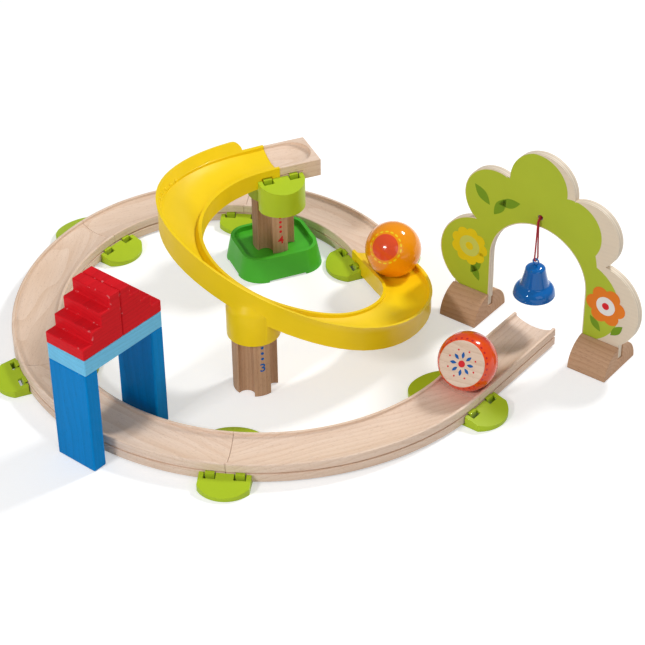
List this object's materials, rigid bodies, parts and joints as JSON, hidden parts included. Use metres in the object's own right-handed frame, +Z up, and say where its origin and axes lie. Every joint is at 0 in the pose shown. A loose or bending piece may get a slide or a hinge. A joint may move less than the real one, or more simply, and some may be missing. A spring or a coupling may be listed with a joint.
{
  "type": "ball_track",
  "caption": "Wooden toy ball track: ring of grooved curves with green clips, yellow spiral chute on pillars, bell arch, block gate and large balls",
  "frame": {"origin": "middle of the whole set's outline, on the floor", "axes": "+X to the right, towards the bell arch; +Y away from the viewer; +Z up"},
  "size_m": [0.4881, 0.4213, 0.1635],
  "materials": {
    "beech": "clear varnished beech",
    "plywood": "plywood painted lime green on its faces, bare edges",
    "lime_plastic": "moulded, satin",
    "green_plastic": "moulded, satin",
    "yellow_plastic": "moulded, half gloss",
    "orange_paint": "glossy ball",
    "red_paint": "glossy painted wood with a bare face",
    "blue_metal": "glossy enamel",
    "steel_wire": "plain wire",
    "red_cord": "twisted cord",
    "blue_stain": "stained wood, satin",
    "light_blue_stain": "stained wood, satin",
    "red_stain": "stained wood, satin"
  },
  "bodies": {
    "track_set": {"curve_large_left": "beech", "curve_large_front_left": "beech", "curve_large_front_right": "beech", "curve_small_back_left": "beech", "curve_small_back_right": "beech", "track_straight": "beech", "starter_cup": "beech", "connector_exit": "lime_plastic", "connector_back": "lime_plastic", "connector_back_left": "lime_plastic", "connector_left": "lime_plastic", "connector_front": "lime_plastic", "connector_right": "lime_plastic", "tower_bracket": "lime_plastic", "tower_base": "green_plastic", "rear_pillar": "beech", "front_pillar": "beech", "spiral_chute": "yellow_plastic", "arch_panel": "plywood", "arch_foot_left": "beech", "arch_foot_right": "beech", "gate_post_outer": "blue_stain", "gate_post_inner": "blue_stain", "gate_lintel": "light_blue_stain", "stair_block_outer": "red_stain", "stair_block_inner": "red_stain"},
    "red_ball": {"red_ball": "red_paint"},
    "orange_ball": {"orange_ball": "orange_paint"},
    "cord": {"bell_cord": "red_cord", "cord_knot": "red_cord"},
    "bell": {"bell": "blue_metal", "bell_eye": "steel_wire"},
    "clapper": {"bell_clapper": "steel_wire"}
  },
  "joints": [
    {"name": "red_ball_run", "type": "slide", "parent": "track_set", "child": "red_ball", "axis": [0.5948, 0.8039, 0], "range_m": [-0.009, 0.05]},
    {"name": "orange_ball_run", "type": "slide", "parent": "track_set", "child": "orange_ball", "axis": [-0.3971, 0.9134, -0.0896], "range_m": [-0.004, 0.036]},
    {"name": "cord_swing", "type": "hinge", "parent": "track_set", "child": "cord", "pos_m": [0.16797, -0.00973, 0.1095], "axis": [0.5948, 0.8039, 0], "range_deg": [-18, 18]},
    {"name": "bell_swing", "type": "hinge", "parent": "cord", "child": "bell", "pos_m": [0.16458, -0.01431, 0.0739], "axis": [0.8039, -0.5948, 0], "range_deg": [-25, 25]},
    {"name": "clapper_swing", "type": "hinge", "parent": "bell", "child": "clapper", "pos_m": [0.16458, -0.01431, 0.0638], "axis": [0.8039, -0.5948, 0], "range_deg": [-20, 20]}
  ]
}
